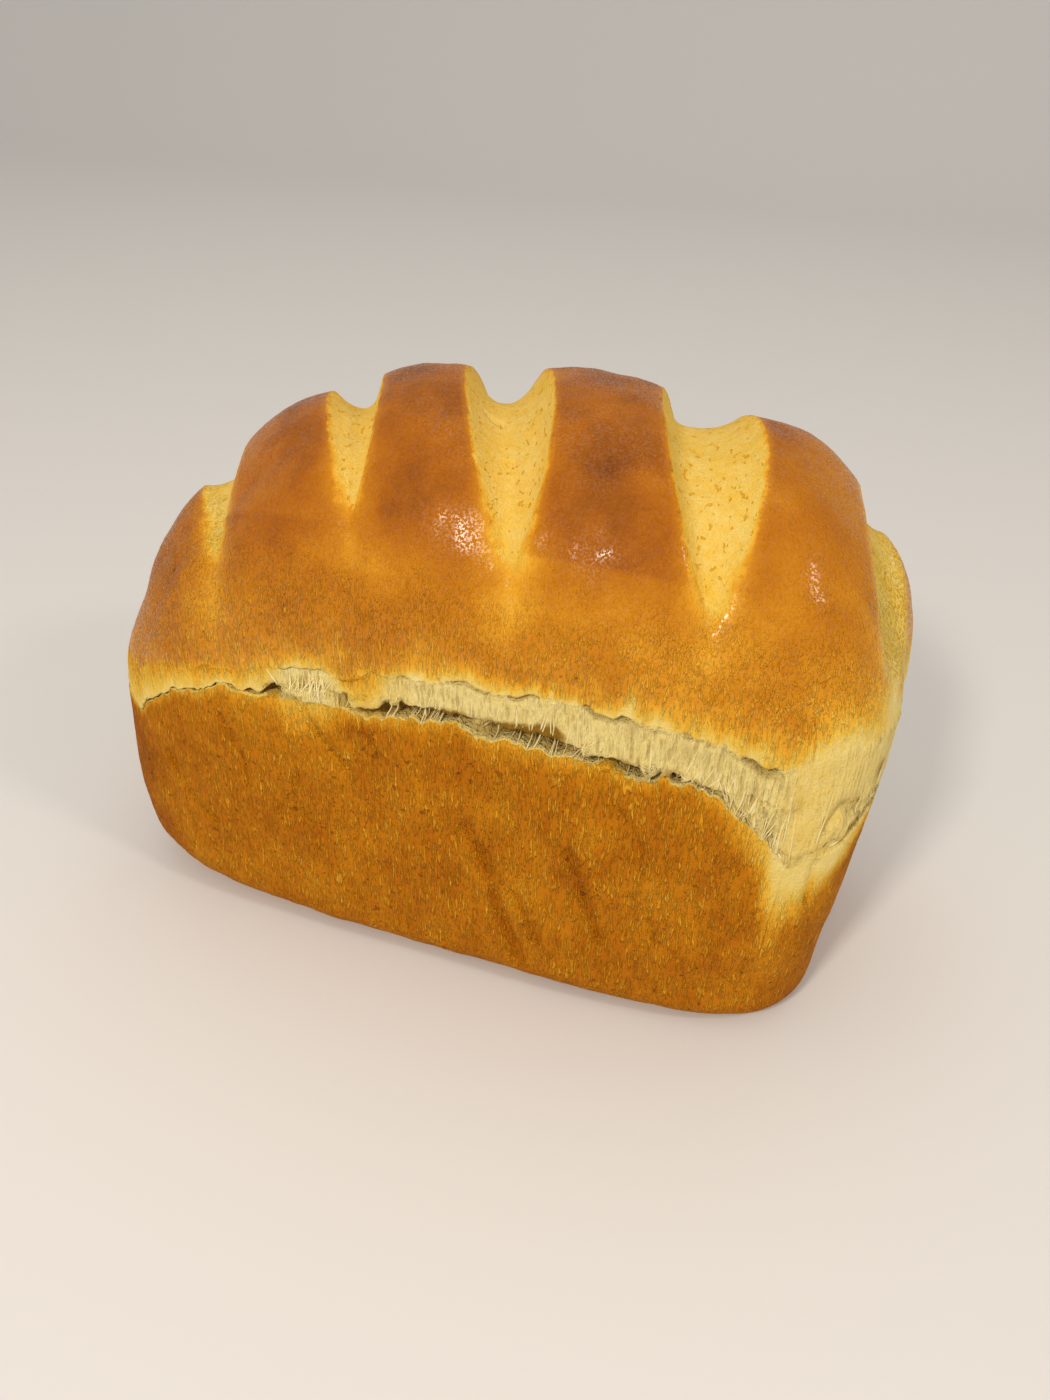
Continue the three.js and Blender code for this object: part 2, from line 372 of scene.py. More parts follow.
def skinPlaces():
    # u, v and climb of every point, the indices of the top's grid, and which points are on a slash's lip
    nx, ny = cells["along"], cells["across"]
    domeLean = np.where(rowKind == 3, ease(0, 1, rowAlong), 0)
    u = np.tile(ringU, (rowCount, 1))
    v = np.tile(ringV, (rowCount, 1))
    u, v = lean(u, v, domeLean[:, None])
    climb = climbOf(u, heights)
    climb[-1] = cells["shoulder"]
    topU, topV, topClimb, onLip = topGrid()
    i, j = np.meshgrid(np.arange(nx + 1), np.arange(ny + 1), indexing="ij")
    border = (i == 0) | (i == nx) | (j == 0) | (j == ny)
    index = np.where(border, ringIndex(i, j), 0)
    index[~border] = rowCount * columns + np.arange((~border).sum())
    keep = ~border.ravel()
    u = np.concatenate([u.ravel(), topU[keep]])
    v = np.concatenate([v.ravel(), topV[keep]])
    climb = np.concatenate([climb.ravel(), topClimb[keep]])
    lips = np.concatenate([np.zeros(rowCount * columns, bool), onLip[keep]])
    return u, v, climb, index, lips


def skinFaces(index, lips):
    r, c = np.meshgrid(np.arange(rowCount - 1), column, indexing="ij")
    n = (c + 1) % columns
    sides = np.stack([r * columns + c, r * columns + n, (r + 1) * columns + n, (r + 1) * columns + c], -1)
    top = np.stack([index[:-1, :-1], index[1:, :-1], index[1:, 1:], index[:-1, 1:]], -1).reshape(-1, 4)
    turn = lips[top[:, 1]] & lips[top[:, 3]] & ~(lips[top[:, 0]] & lips[top[:, 2]])
    top[turn] = np.roll(top[turn], -1, axis=1)   # so the face is split along the lip
    return np.concatenate([sides.reshape(-1, 4), top])


def pointNormals(points, faces):
    a, b, c, d = [points[faces[:, corner]] for corner in range(4)]
    faceNormals = unit(np.cross(c - a, d - b))
    normals = np.zeros_like(points)
    for corner in range(4):
        np.add.at(normals, faces[:, corner], faceNormals)
    return unit(normals)


placeU, placeV, placeClimb, topIndex, lips = skinPlaces()
faces = skinFaces(topIndex, lips)
base = formAt(placeU, placeV, placeClimb)
pointCount = len(base)
sidePoints = rowCount * columns
kind = np.full(pointCount, 3)
kind[:sidePoints] = np.repeat(rowKind, columns)
along = np.ones(pointCount)
along[:sidePoints] = np.repeat(rowAlong, columns)
inColumn = np.zeros(pointCount, int)
inColumn[:sidePoints] = np.tile(column, rowCount)
# the sides below the dome take their normals from just under the tear, where the form has a kink
smoothClimb = np.where(kind < 3, np.minimum(placeClimb, 0.999), placeClimb)
outward = pointNormals(formAt(placeU, placeV, smoothClimb), faces)
level = unit(outward * [1, 1, 0])
print("skin:", pointCount, "points")


def atPoints(values):
    # a value of the columns at every point; the top's points take the mean
    return np.where(np.arange(pointCount) < sidePoints, values[inColumn], values.mean())


pointFoot, pointSkin, pointGape, pointFibre, pointFringe = [
    atPoints(values) for values in (foot, skin, gape, fibre, fringe)]
isWall, isGape, isFibre, isDome = [kind == k for k in range(4)]
isTorn = isGape | isFibre
centred = base - [middleX, 0, 0]


def slashRelief():
    # how far the slashes and the crust's roll towards their lips press each point in, how far inside the
    # cut it lies, in units of how softly the cut's edge fades there, and how near a lip and a tip it is
    press, valley, tip = [np.zeros(pointCount) for _ in range(3)]
    cut = np.full(pointCount, -rim["limit"])
    for slash in slashes:
        off, half, left = acrossSlash(slash, base)
        across = np.clip(off / np.maximum(half, tiny), -1, 1) - slash["deepest"]
        across = np.where(across < 0, across / (1 + slash["deepest"]), across / (1 - slash["deepest"]))
        bowl = (1 - abs(across) ** rim["curve"]) ** rim["fullness"]
        hollow = slash["depth"] * np.maximum(left, 0) * bowl
        within = half - abs(off)
        soft = mix(rim["softTip"], rim["softMiddle"], ease(0.1, 0.8, left))
        press = np.maximum(press, np.where(within > 0, hollow, 0))
        cut = np.maximum(cut, within / soft - 3 * ease(0.25, -0.1, left))
        near = ease(-rim["tail"], 0.2, left) * np.exp(-np.maximum(-within, 0) / rim["fade"])
        valley = np.maximum(valley, near)
        tip = np.maximum(tip, near * np.exp(-((left + 0.25) / 0.4) ** 2))
    return press + rim["drop"] * valley, np.clip(cut, -rim["limit"], rim["limit"]), valley, tip


press, cut, inValley, atTip = slashRelief()
press, inValley, atTip = [np.where(isDome, value, 0) for value in (press, inValley, atTip)]
cut = np.where(isDome, cut, -rim["limit"])

# Folds and cracks: their path over the skin, depth and half width. The short one on the crown is a hole.
folds = [
    {"path": [(-36, -55, 83), (-32, -55, 74), (-24, -54, 63)], "depth": 1.4, "width": 1.1},
    {"path": [(-19, -55, 82), (-15, -55, 70)], "depth": 0.9, "width": 1},
    {"path": [(-40, -54, 56), (-42, -54, 49), (-47, -54, 43)], "depth": 1.1, "width": 1},
    {"path": [(-42, -54, 49), (-37, -54, 42)], "depth": 1.1, "width": 1},
    {"path": [(10, -54, 54), (15, -54, 46), (18, -54, 30), (26, -53, 12)], "depth": 2.6, "width": 2},
    {"path": [(17, -54, 40), (24, -54, 33), (30, -53, 20)], "depth": 1.4, "width": 1.4},
    {"path": [(38, -54, 54), (42, -54, 42), (47, -54, 26)], "depth": 1.9, "width": 1.5},
    {"path": [(-62, -53, 70), (-57, -53, 60), (-55, -53, 48)], "depth": 1.1, "width": 1.0},
    {"path": [(50, -54, 72), (56, -54, 62), (57, -54, 50)], "depth": 0.9, "width": 1.0},
    {"path": [(-85, -52, 50), (-80, -53, 38), (-70, -53, 30)], "depth": 1.1, "width": 1.4},
    {"path": [(60, -54, 40), (63, -54, 30)], "depth": 0.9, "width": 1.1},
    {"path": [(101, -42, 80), (99, -43, 72)], "depth": 2, "width": 1},
    {"path": [(-3.5, -6, 147), (1.5, -6.5, 147)], "depth": 2.4, "width": 0.7},
    {"path": [(99, -43, 60), (99, -42, 47)], "depth": 1.1, "width": 1},
]
# The skin stands up by this share of the depth on both sides of a fold, this many half widths away.
foldEdge = {"lift": 0.42, "away": 2.2}
# Folds scattered over the back and both ends: their start, run, drop, depth and half width.
scattered = {"number": 16, "start": (30, 70), "run": (-8, 8), "drop": (8, 26), "depth": (0.4, 1.1),
             "width": (1.1, 2.2)}


def scatteredFolds():
    dice = np.random.default_rng(8)
    for number in range(scattered["number"]):
        back = (dice.uniform(-90, 90), 54)
        right = (108, dice.uniform(-40, 40))
        left = (-109, dice.uniform(-40, 40))
        x, y = (back, right, left)[number % 3]
        z, run, drop = [dice.uniform(*scattered[name]) for name in ("start", "run", "drop")]
        way = np.array([run, 0, -drop] if number % 3 == 0 else [0, run, -drop])
        path = [np.array([x, y, z]) + way * t for t in (0, 0.5, 1)]
        depth, width = [dice.uniform(*scattered[name]) for name in ("depth", "width")]
        yield {"path": path, "depth": depth, "width": width}


def foldRelief():
    # how far the folds press each point in, and how close it is to one's bottom, for the painted shade in
    # the wall's folds
    press, close = np.zeros(pointCount), np.zeros(pointCount)
    for fold in [*folds, *scatteredFolds()]:
        path = [base[np.argmin(((base - spot) ** 2).sum(1))] for spot in fold["path"]]
        for start, end in zip(path, path[1:]):
            way = end - start
            share = np.clip(((base - start) @ way) / (way @ way), 0, 1)
            away = np.linalg.norm(base - start - share[:, None] * way, axis=1)
            bottom = np.exp(-(away / fold["width"]) ** 2)
            press = np.maximum(press, fold["depth"] * bottom)
            close = np.maximum(close, bottom * min(fold["depth"], 1))
            beside = np.exp(-((away - foldEdge["away"] * fold["width"]) / fold["width"]) ** 2)
            press -= foldEdge["lift"] * fold["depth"] * beside
    return press, close


foldPress, foldShade = foldRelief()

# The wall follows the tin, with slow dents, fine wrinkles and a wavy bottom edge, which fades with the
# height. The dome swells softly and is dimpled. All in millimetres.
uneven = {"dent": 0.8, "wrinkle": 0.28, "bottomWave": 1.1, "bottomFade": 5,
          "swelling": 0.9, "dimple": 0.22}


def crustRelief():
    # how far each point of the wall and the dome is moved outwards
    upWall = np.clip(base[:, 2] / pointFoot, 0, 1)
    dents = (wander(base, (34, 34, 26), 2, 5) * uneven["dent"]
             + wander(base, (6, 6, 10), 3, 6) * uneven["wrinkle"])
    edgeWave = np.exp(-base[:, 2] / uneven["bottomFade"]) * wander(base * [1, 1, 0], 11, 2, 16)
    swelling = wander(base, 26, 2, 7) * uneven["swelling"] + wander(base, 7, 3, 8) * uneven["dimple"]
    out = np.where(isWall, ease(0, 0.2, upWall) * dents, 0)
    out += np.where(isWall, edgeWave * uneven["bottomWave"], 0)
    out -= np.where(isWall | isDome | (foldPress > 0), foldPress, 0)
    return out + np.where(isDome, swelling, 0) - press


# The seam: its torn crumb is drawn in under the lip, lumpy and stringy. How far the gape is drawn in, how
# far the threads stand out in the gape and in the band, how far the band droops over the lip and lies
# back above it, how rough it is where it isn't fibrous, and how deep the second crack is.
torn = {"draw": 1.3, "gapeThread": 1.4, "bandThread": 1.3, "droop": 1.1, "back": 0.6, "plain": 0.35,
        "crack": 3.2}
# Lumps scattered along the other three sides: one every so often, pushed out or in, and their half sizes.
strewn = {"every": 3.4, "out": (0.8, 2.6), "in": (1.5, 4.5), "along": (1.6, 4.5), "up": (1.4, 4)}
ringArc = np.concatenate([[0], np.cumsum(np.linalg.norm(np.diff(tearRing[:, :2], axis=0), axis=1))])
ringLength = ringArc[-1] + np.linalg.norm(tearRing[0, :2] - tearRing[-1, :2])


def tornLumps():
    # how far the front's own lumps, and scattered ones along the other three sides, move each point
    front = column[side == 0]
    arcs = np.interp([l[0] for l in lumps], tearRing[front, 0], ringArc[front])
    spots = [(arc, *lump[1:]) for arc, lump in zip(arcs, lumps)]
    dice = np.random.default_rng(4)
    for arc in np.arange(ringArc[front[-1]] + 6, ringLength - 4, strewn["every"]):
        at = int(np.interp(arc, ringArc, column))
        height = mix(foot[at], skin[at], dice.uniform(0.15, 0.85))
        push = dice.uniform(*strewn["out"]) if dice.random() < 0.5 else -dice.uniform(*strewn["in"])
        spots.append((arc + dice.uniform(-1, 1), height, dice.uniform(*strewn["along"]),
                      dice.uniform(*strewn["up"]), push * max(fibre[at], 0.15)))
    moved = np.zeros(pointCount)
    arcHere = ringArc[inColumn]
    for arc, height, halfAlong, halfUp, push in spots:
        away = (arcHere - arc + ringLength / 2) % ringLength - ringLength / 2
        reach = (away / halfAlong) ** 2 + ((base[:, 2] - height) / halfUp) ** 2
        moved += push * np.exp(-reach ** 1.4)
    return np.where(isTorn, moved, 0)


def tornRelief():
    # how far each point of the seam is moved outwards, and the threads' own noise
    gapeRule = np.interp(along, gapeRows[:, 0], gapeRows[:, 1])
    leaning = base + np.stack([0.35 * (base[:, 2] - 85), np.zeros(pointCount), np.zeros(pointCount)], -1)
    threads = wander(leaning, (1.5, 1.5, 8), 3, 9)
    out = np.where(isGape, -torn["draw"] * pointGape * gapeRule, 0) + tornLumps()
    out += np.where(isGape, pointFibre * threads * torn["gapeThread"] * gapeRule, 0)
    droop = np.exp(-((along - 0.25) / 0.3) ** 2)
    fibres = pointFibre * (threads * torn["bandThread"] + torn["droop"] * droop - torn["back"])
    out += np.where(isFibre, fibres * np.minimum(1, (1 - along) * 5), 0)
    out += np.where(isFibre, (1 - pointFibre) * wander(leaning, (3, 3, 5), 2, 10) * torn["plain"], 0)
    # a second crack opens here and there under the glazed skin's edge, mostly at the right
    opened = ease(0.05, 0.3, wander(base * [1, 1, 0], 10, 3, 17))
    crack = np.exp(-((along - 0.9) / 0.07) ** 2) * opened * pointFibre
    crack *= mix(0.4, 1, ease(5, 35, centred[:, 0]))
    return out - np.where(isFibre, torn["crack"] * crack, 0), threads


tornOut, threads = tornRelief()
out = crustRelief() + tornOut
points = base + outward * np.where(isTorn, 0, out)[:, None]
points = points + level * np.where(isTorn, out, 0)[:, None]
points[:, 0] -= middleX
points[:, 2] = np.maximum(points[:, 2], 0)
points[:columns, 2] = 0

# How far each part is baked, from 0, pale, to 1, burnt, with painted shade added in the wall's folds. The
# wall: its own, patches, streaks, painted shade in a fold, darker towards the front of the left end, and
# its fringe where that is short and where it is long. The dome: by the height above the skin's edge, then
# at the ends, in patches, and how much paler at a slash's lips and tips. The torn crumb: plain, fibrous,
# its threads, and where skin rolls down over it.
bakingAndShade = {
    "wall": 0.63, "wallPatch": 0.11, "wallStreak": 0.05, "fold": 0.03, "leftEnd": 0.12,
    "shortFringe": 0.4, "longFringe": 0.1,
    "dome": [(0, 0.15), (2.5, 0.36), (6, 0.52), (12, 0.59), (25, 0.65), (40, 0.78), (55, 0.88)],
    "domeEnd": 0.05, "domePatch": 0.09, "lips": 0.1, "tips": 0.24,
    "plain": 0.16, "fibrous": 0.05, "threads": 0.05, "skinned": 0.28,
}


def crustValues():
    # each point's attributes: how far it is baked, with painted shade in the wall's folds, how much of
    # the inside shows, how it is glazed, how deep in the seam it lies, which sets the painted shade
    # there, and how far the glaze hides the flecks, most of all on the crown
    x, y, z = centred.T
    streaks = wander(base, (1.6, 1.6, 14), 3, 12)
    wall = bakingAndShade["wall"] + wander(base, 18, 3, 13) * bakingAndShade["wallPatch"]
    # painted shade: the wall is coloured darker at the bottom of its folds
    wall = wall + streaks * bakingAndShade["wallStreak"] + bakingAndShade["fold"] * foldShade
    # the wall is darker towards the front of the left end
    wall += bakingAndShade["leftEnd"] * ease(60, 104, -x) * ease(-10, 20, -y)
    edge = mix(bakingAndShade["shortFringe"], bakingAndShade["longFringe"], ease(7, 30, pointFringe))
    reach = (pointFringe * (1 + 0.3 * streaks)).clip(1)
    wall = mix(edge, wall, ease(0, 1, (pointFoot - z) / reach))
    softer = 1 + 1.6 * ease(55, 104, x)   # the glazed skin fades out more slowly at the right
    skinned = 1 - np.maximum(pointFibre, ease(60, 100, x))   # where skin rolls down to the crack
    above = (z - pointSkin + wander(base, 10, 2, 14) * 2 + streaks * 1.5) / softer + 3.5 * skinned
    dome = np.interp(above, *zip(*bakingAndShade["dome"])) + bakingAndShade["domeEnd"] * ease(55, 100, abs(x + 4))
    dome += wander(base, 14, 3, 15) * bakingAndShade["domePatch"]
    dome -= bakingAndShade["lips"] * inValley + bakingAndShade["tips"] * atTip
    inside = mix(bakingAndShade["plain"], bakingAndShade["fibrous"], pointFibre) + bakingAndShade["threads"] * threads
    inside += np.where(isFibre, bakingAndShade["skinned"] * along * skinned, 0)
    glaze = ease(0, 6, above)
    smooth = 0.35 * glaze + 0.65 * ease(98, 140, z + wander(base, 9, 3, 18) * 9)
    return {
        "bakeAndShade": np.where(isWall, wall, np.where(isDome, dome, inside)),
        "torn": np.where(isGape, mix(0.35, 1, pointFibre), np.where(isFibre, 0.9 * pointFibre, 0)),
        "glaze": np.where(isDome, glaze, 0),
        "cut": cut,
        # painted shade: the further the crumb is drawn into the seam, the darker it is coloured
        "deep": np.where(isTorn, np.clip(-tornOut - 0.8, 0, 5) / 5, 0),
        "smooth": np.where(isDome, smooth, 0),
    }


def undersideRings(points, faces):
    # closes the underside with rings that shrink towards its middle
    scales = [0.985, 0.95, 0.88, 0.76, 0.6, 0.4, 0.2]
    added = [points[:columns] * [scale, scale, 0] for scale in scales] + [np.zeros((1, 3))]
    more = []
    start = len(points)
    n = (column + 1) % columns
    outer = column
    for number in range(len(scales)):
        inner = start + number * columns + column
        more.append(np.stack([outer[n], outer, inner, inner[n]], -1))
        outer = inner
    centre = start + len(scales) * columns
    fan = np.stack([outer[n], outer, np.full(columns, centre)], -1)
    return np.concatenate([points, *added]), np.concatenate([faces, *more]), fan


def meshPiece(name, points, faceLists, values, material):
    mesh = bpy.data.meshes.new(name)
    mesh.from_pydata((points * mm).tolist(), [], [f for part in faceLists for f in part.tolist()])
    mesh.validate()
    for key, value in values.items():
        layer = mesh.attributes.new(key, "FLOAT", "POINT")
        layer.data.foreach_set("value", np.ascontiguousarray(value, dtype=np.float32))
    mesh.shade_smooth()
    mesh.materials.append(material)
    piece = bpy.data.objects.new(name, mesh)
    scene.collection.objects.link(piece)
    return piece


def newMaterial(name):
    material = bpy.data.materials.new(name)
    material.use_nodes = True
    tree = material.node_tree
    tree.nodes.clear()
    output = tree.nodes.new("ShaderNodeOutputMaterial")
    shader = tree.nodes.new("ShaderNodeBsdfPrincipled")
    tree.links.new(shader.outputs["BSDF"], output.inputs["Surface"])
    return material, tree, shader


def node(tree, kind, inputs=None, **settings):
    made = tree.nodes.new(kind)
    for key, value in settings.items():
        setattr(made, key, value)
    for key, value in (inputs or {}).items():
        if isinstance(value, bpy.types.NodeSocket):
            tree.links.new(value, made.inputs[key])
        else:
            made.inputs[key].default_value = value
    return made


# Colours from torn crumb over the slashes' cream and gold to burnt, by how far they are baked. Then how
# far each kind of mark darkens the tone (the flecks' stroke lightens it as painted sheen, the pits and
# pores darken it as painted shade), the slashes' own tone, the tint of the painted shade deep in the
# seam, the gloss, and the height of the relief that is too fine for the mesh.
crust = {
    "ramp": [(0.0, (0.90, 0.74, 0.32)), (0.14, (0.83, 0.62, 0.19)), (0.26, (0.82, 0.52, 0.07)),
             (0.42, (0.80, 0.37, 0.02)), (0.6, (0.58, 0.21, 0.004)), (0.8, (0.42, 0.122, 0.002)),
             (1.0, (0.15, 0.033, 0.003))],
    "speckle": 0.16, "mottle": 0.2, "strokeSheen": 0.15, "poreShade": 0.2, "pitShade": 0.16, "cutBake": 0.21,
    "cutPatch": 0.16, "cutSpeckle": 0.2, "seamShadeTint": (0.34, 0.22, 0.05),
    "matt": 0.85, "glazed": 0.45, "coatRoughness": 0.21, "coatIor": 1.38, "specular": 0.1,
    "bump": 0.8, "bumpHeight": 0.0006,
}
# The crust's noises: lumps per metre, detail, and where they aren't round, their stretch and turn.
grains = {
    "cutEdge": (230, 4), "mottle": (160, 3), "speckle": (900, 3), "pits": (420, 2),
    "cutSpeckle": (420, 4), "cutPatch": (90, 2), "glaze": (1700, 2), "fine": (1800, 2),
    "coarse": (450, 3),
    "rightFlecks": (1500, 2, (1, 1, 0.15), (0, 0.3, 0)),
    "leftFlecks": (1500, 2, (1, 1, 0.15), (0, -0.25, 0)),
    "pores": (750, 2, (1, 0.5, 1), (0, 0, 0)),
    "strings": (1000, 3, (1, 1, 0.16), (0, 0.3, 0)),
}


def crustMaterial():
    material, tree, shader = newMaterial("bread crust")

    def attribute(name):
        return node(tree, "ShaderNodeAttribute", attribute_name=name).outputs["Fac"]

    def maths(kind, *values):
        made = node(tree, "ShaderNodeMath", operation=kind)
        for socket, value in zip(made.inputs, values):
            if isinstance(value, bpy.types.NodeSocket):
                tree.links.new(value, socket)
            else:
                socket.default_value = value
        return made.outputs["Value"]

    place = node(tree, "ShaderNodeTexCoord").outputs["Object"]

    def grain(name):
        # noise about 0
        scale, detail, stretch, turn = (*grains[name], (1, 1, 1), (0, 0, 0))[:4]
        spots = node(tree, "ShaderNodeMapping", {"Vector": place, "Scale": stretch, "Rotation": turn})
        made = node(tree, "ShaderNodeTexNoise",
                    {"Vector": spots.outputs["Vector"], "Scale": scale, "Detail": detail})
        return maths("SUBTRACT", made.outputs["Fac"], 0.5)

    def between(value, low, high, toLow=0.0, toHigh=1.0):
        made = node(tree, "ShaderNodeMapRange", interpolation_type="SMOOTHSTEP")
        tree.links.new(value, made.inputs["Value"])
        for key, number in zip(("From Min", "From Max", "To Min", "To Max"), (low, high, toLow, toHigh)):
            made.inputs[key].default_value = number
        return made.outputs["Result"]

    bakedAndShaded, inside, glaze, cutDepth, deep, smooth = [
        attribute(name) for name in ("bakeAndShade", "torn", "glaze", "cut", "deep", "smooth")]
    # the crust's tone: flecks, whose fine wrinkles are in relief and painted lighter as sheen, mottling,
    # speckles, and pits painted darker as shade, weaker where it is torn or smooth
    inCut = between(maths("MULTIPLY_ADD", grain("cutEdge"), 2.0, cutDepth), -0.8, 0.8)
    fringe = maths("MULTIPLY", between(cutDepth, -2.5, 0.3), 0.16)
    crusty = maths("SUBTRACT", 1.0, inside)
    flecks = [between(grain(name), 0.03, 0.15) for name in ("rightFlecks", "leftFlecks")]
    flecks = maths("SUBTRACT", maths("ADD", *flecks), 0.45)
    fleckMask = maths("MULTIPLY", between(smooth, 0, 1, 1, 0.1), between(bakedAndShaded, 0.1, 0.5))
    flecks = maths("MULTIPLY", flecks, fleckMask)
    # painted sheen: the raised flecks are coloured lighter
    marks = maths("MULTIPLY", flecks, -crust["strokeSheen"])
    marks = maths("MULTIPLY_ADD", grain("mottle"), crust["mottle"], marks)
    marks = maths("MULTIPLY_ADD", grain("speckle"), crust["speckle"], marks)
    # painted shade: the pits, pressed in by the bump below, are coloured darker
    pits = maths("MULTIPLY", between(grain("pits"), 0.17, 0.25), between(bakedAndShaded, 0.3, 0.55))
    pits = maths("MULTIPLY", pits, between(smooth, 0, 1, 1, 0.25))
    marks = maths("MULTIPLY_ADD", pits, crust["pitShade"], marks)
    marks = maths("MULTIPLY", marks, maths("MULTIPLY_ADD", crusty, 0.6, 0.4))
    marks = maths("MULTIPLY", marks, between(smooth, 0, 1, 1, 0.6))
    tone = maths("ADD", maths("SUBTRACT", bakedAndShaded, fringe), marks)
    # the slashes' tone: speckled and patchy, with pores coloured darker as painted shade
    cutTone = maths("MULTIPLY_ADD", grain("cutSpeckle"), crust["cutSpeckle"], crust["cutBake"])
    cutTone = maths("MULTIPLY_ADD", grain("cutPatch"), crust["cutPatch"], cutTone)
    pores = between(grain("pores"), 0.13, 0.2)
    cutTone = maths("MULTIPLY_ADD", pores, crust["poreShade"], cutTone)
    mixed = node(tree, "ShaderNodeMix", {"Factor": inCut}, data_type="FLOAT")
    tree.links.new(tone, mixed.inputs["A"])
    tree.links.new(cutTone, mixed.inputs["B"])
    ramp = node(tree, "ShaderNodeValToRGB", {"Fac": mixed.outputs["Result"]})
    elements = ramp.color_ramp.elements
    while len(elements) < len(crust["ramp"]):
        elements.new(0.5)
    for element, (position, colour) in zip(elements, crust["ramp"]):
        element.position = position
        element.color = (*colour, 1)
    # torn crumb is stringy; painted shade darkens it deep in the seam and in the grooves between its
    # strings
    strings = grain("strings")
    shaded = maths("MAXIMUM", deep, maths("MULTIPLY", inside, between(strings, 0.0, -0.15, 0, 0.4)))
    colour = node(tree, "ShaderNodeMix",
                  {0: shaded, 6: ramp.outputs["Color"], 7: (*crust["seamShadeTint"], 1)},   # factor, A and B
                  data_type="RGBA", blend_type="MULTIPLY")
    tree.links.new(colour.outputs[2], shader.inputs["Base Color"])

    # the glaze is grainy, so it sparkles where it mirrors a lamp
    shiny = maths("MULTIPLY", glaze, maths("SUBTRACT", 1.0, inCut))
    tree.links.new(between(shiny, 0, 1, crust["matt"], crust["glazed"]), shader.inputs["Roughness"])
    sparkle = maths("MULTIPLY", shiny, between(grain("glaze"), -0.02, 0.1))
    tree.links.new(sparkle, shader.inputs["Coat Weight"])
    shader.inputs["Coat Roughness"].default_value = crust["coatRoughness"]
    shader.inputs["Coat IOR"].default_value = crust["coatIor"]
    shader.inputs["Specular IOR Level"].default_value = crust["specular"]
    # grains, strings, flecks, pits and pores in relief
    fine = maths("MULTIPLY", grain("fine"), maths("MULTIPLY_ADD", smooth, -0.3, 0.6))
    height = maths("MULTIPLY_ADD", grain("coarse"), 0.9, fine)
    height = maths("ADD", height, maths("MULTIPLY", strings, maths("MULTIPLY", inside, 6.0)))
    height = maths("MULTIPLY_ADD", flecks, 1.5, height)
    height = maths("SUBTRACT", height, pits)
    height = maths("SUBTRACT", height, maths("MULTIPLY", pores, maths("MULTIPLY", inCut, 0.6)))
    bump = node(tree, "ShaderNodeBump",
                {"Height": height, "Strength": crust["bump"], "Distance": crust["bumpHeight"]})
    tree.links.new(bump.outputs["Normal"], shader.inputs["Normal"])
    return material


def makeLoaf():
    allPoints, quads, fan = undersideRings(points, faces)
    extra = len(allPoints) - pointCount
    underneath = {"bakeAndShade": 0.6, "cut": -rim["limit"]}   # and 0 for the others
    values = {key: np.concatenate([value, np.full(extra, underneath.get(key, 0))])
              for key, value in crustValues().items()}
    return meshPiece("baked_loaf", allPoints, [quads, fan], values, crustMaterial())


loaf = makeLoaf()
print("loaf:", len(loaf.data.polygons), "faces")

# Torn threads of crumb that bridge the seam: each runs from the foot up to the band under the glaze. How
# many, their radius, points and sides, how far they lift off the skin and start sunk into it, how
# straight they are pulled, how far they lean in columns (mean and spread), and how thin their ends are.
bridges = {"number": 420, "radius": (0.10, 0.30), "points": 8, "sides": 5, "lift": 0.35, "sunk": 0.1,
           "straight": 0.55, "lean": (0.8, 2.2), "ends": 0.45}


def threadPaths():
    # points along all threads, the edges between them, and the radius at each point
    dice = np.random.default_rng(12)
    footRow = np.flatnonzero(rowKind == 1)[0]
    skinRow = np.flatnonzero(rowKind == 3)[0]
    grid = points[:sidePoints].reshape(rowCount, columns, 3)
    outGrid = level[:sidePoints].reshape(rowCount, columns, 3)

    def at(place, height):
        # the skin's point in a column at a height, and its direction outwards
        first = int(place) % columns
        second, share = (first + 1) % columns, place % 1
        found = []
        for where in (first, second):
            row = np.interp(height, heights[footRow:skinRow, where], np.arange(footRow, skinRow))
            low = min(int(row), skinRow - 2)
            found.append((mix(grid[low, where], grid[low + 1, where], row - low), outGrid[low, where]))
        return mix(found[0][0], found[1][0], share), found[0][1]

    spots, edges, thick = [], [], []
    steps = np.linspace(0, 1, bridges["points"])
    while len(edges) < bridges["number"] * (bridges["points"] - 1):
        place = dice.uniform(0, columns)
        here = int(place)
        if dice.random() > fibre[here] * 1.1 - 0.1:
            continue
        start = foot[here] + dice.uniform(-0.5, 0.6) * (lip[here] - foot[here])
        end = mix(lip[here], skin[here], dice.uniform(0.0, 0.8))
        sideways = dice.normal(*bridges["lean"])
        radius = dice.uniform(*bridges["radius"])
        track = [at(place + sideways * t, mix(start, end, t)) for t in steps]
        first, last = track[0][0], track[-1][0]
        for t, (spot, way) in zip(steps, track):
            arch = np.sin(np.pi * t)
            pulled = mix(spot, mix(first, last, t), bridges["straight"] * arch)
            spots.append(pulled + way * (bridges["lift"] * arch - bridges["sunk"]))
            thick.append(radius * (bridges["ends"] + (1 - bridges["ends"]) * arch))
        count = len(spots)
        edges += [(i, i + 1) for i in range(count - bridges["points"], count - 1)]
    return np.array(spots), edges, np.array(thick)


